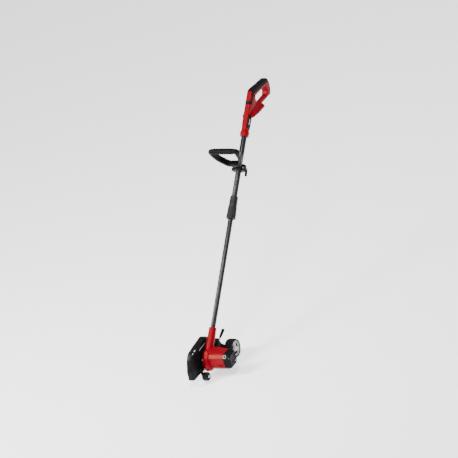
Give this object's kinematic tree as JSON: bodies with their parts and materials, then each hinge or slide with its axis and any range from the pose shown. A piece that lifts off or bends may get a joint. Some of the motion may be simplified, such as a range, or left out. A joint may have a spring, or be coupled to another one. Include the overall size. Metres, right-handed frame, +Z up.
{
  "type": "lawn edger",
  "caption": "Battery lawn edger: rear loop handle, telescopic shaft with D-shaped front handle, geared cutting head, guard, edging blade, rear wheel and roller.",
  "frame": {"origin": "middle of the overall box, on the plane that the rear wheel and front roller touch", "axes": "+X across the tool towards the motor cap and wheel side, +Y back towards the user, +Z up"},
  "size_m": [0.1941, 1.177, 0.93],
  "materials": {
    "red_plastic": "satin moulded",
    "soft_black": "fine textured",
    "black_plastic": "fine textured",
    "guard_plastic": "fine textured",
    "label": "gloss film",
    "tube_paint": "dark anodised",
    "steel": "zinc plated",
    "blade_steel": "ground",
    "arm_steel": "powder coated",
    "contact_brass": "bright",
    "commutator_copper": "turned",
    "winding_copper": "varnished",
    "ferrite": "matt",
    "carbon": "matt",
    "board_green": "solder mask",
    "nylon": "natural",
    "cable_black": "matt",
    "roller_rubber": "ribbed",
    "tyre_rubber": "ribbed",
    "hub_grey": "light grey"
  },
  "bodies": {
    "handle": {"handle_shell_left": "red_plastic", "handle_shell_right": "red_plastic", "grip_overmould": "soft_black", "label_plate": "label", "handle_screws": "steel", "battery_dock": "black_plastic", "battery_terminals": "contact_brass", "trigger_switch": "black_plastic", "control_board": "board_green", "trigger_spring": "steel", "lock_spring": "steel", "upper_tube": "tube_paint", "tube_collar": "red_plastic", "cable_upper": "cable_black", "cable_coil": "cable_black", "coupling_body": "black_plastic", "collet": "nylon"},
    "trigger": {"trigger": "black_plastic"},
    "lock_button": {"lock_off_button": "black_plastic"},
    "lock_sleeve": {"lock_sleeve": "black_plastic"},
    "aux_handle": {"aux_loop": "black_plastic", "aux_grip": "soft_black", "aux_clamp_cap": "black_plastic", "aux_clamp_bolts": "steel"},
    "quick_lever": {"quick_lever": "black_plastic"},
    "lower_shaft": {"lower_tube": "tube_paint", "cable_lower": "cable_black", "gearcase_shell": "red_plastic", "motor_housing": "red_plastic", "motor_end_cap": "black_plastic", "head_screws": "steel", "motor_can": "steel", "motor_magnets": "ferrite", "brush_holder": "black_plastic", "brushes": "carbon", "motor_bearings": "steel", "spindle_bearings": "steel", "guard": "guard_plastic", "guard_screws": "steel", "roller_bracket": "black_plastic", "roller_axle": "steel", "depth_quadrant": "black_plastic", "detent_plunger": "steel"},
    "rotor": {"armature": "winding_copper", "commutator": "commutator_copper", "motor_shaft": "steel", "pinion": "steel", "cooling_fan": "nylon"},
    "blade_spindle": {"spindle": "steel", "spindle_gear": "steel", "inner_flange": "steel", "blade": "blade_steel", "blade_nut": "steel"},
    "front_roller": {"front_roller": "roller_rubber"},
    "wheel_arm": {"wheel_arm": "arm_steel", "depth_lever": "arm_steel", "lever_grip": "black_plastic", "wheel_axle": "steel"},
    "rear_wheel": {"wheel_tyre": "tyre_rubber", "wheel_hub": "hub_grey"}
  },
  "joints": [
    {"name": "trigger_pull", "type": "hinge", "parent": "handle", "child": "trigger", "pos_m": [-0.02275, 0.4865, 0.8995], "axis": [-1, 0, 0], "range_deg": [0, 8], "stiffness_Nm_per_rad": 0.3, "springref_deg": -6.88, "deforming": ["trigger_spring"]},
    {"name": "lock_off_press", "type": "slide", "parent": "handle", "child": "lock_button", "axis": [-1, 0, 0], "range_m": [0, 0.0025], "stiffness_N_per_m": 300, "springref_m": -0.002, "deforming": ["lock_spring"]},
    {"name": "sleeve_twist", "type": "hinge", "parent": "handle", "child": "lock_sleeve", "pos_m": [-0.02275, 0.04167, 0.5505], "axis": [0, 0.7443, 0.6678], "range_deg": [0, 60]},
    {"name": "aux_slide", "type": "slide", "parent": "handle", "child": "aux_handle", "axis": [0, 0.7443, 0.6678], "range_m": [-0.1, 0.1]},
    {"name": "quick_lever_open", "type": "hinge", "parent": "aux_handle", "child": "quick_lever", "pos_m": [0.00275, 0.19578, 0.66325], "axis": [1, 0, 0], "range_deg": [0, 110]},
    {"name": "shaft_telescope", "type": "slide", "parent": "handle", "child": "lower_shaft", "axis": [0, 0.7443, 0.6678], "range_m": [0, 0.15], "deforming": ["cable_coil"]},
    {"name": "blade_spin", "type": "hinge", "parent": "lower_shaft", "child": "blade_spindle", "pos_m": [-0.02275, -0.47869, 0.05981], "axis": [1, 0, 0], "continuous": true},
    {"name": "rotor_spin", "type": "hinge", "parent": "lower_shaft", "child": "rotor", "pos_m": [-0.02275, -0.4585, 0.082], "axis": [1, 0, 0], "continuous": true},
    {"name": "roller_spin", "type": "hinge", "parent": "lower_shaft", "child": "front_roller", "pos_m": [-0.02275, -0.5125, 0.0195], "axis": [1, 0, 0], "continuous": true},
    {"name": "depth_adjust", "type": "hinge", "parent": "lower_shaft", "child": "wheel_arm", "pos_m": [-0.02275, -0.3635, 0.092], "axis": [1, 0, 0], "range_deg": [0, 24]},
    {"name": "wheel_spin", "type": "hinge", "parent": "wheel_arm", "child": "rear_wheel", "pos_m": [-0.02275, -0.3085, 0.0425], "axis": [1, 0, 0], "continuous": true}
  ],
  "couplings": [
    {"joint": "rotor_spin", "follows": "blade_spin", "ratio": -3}
  ]
}
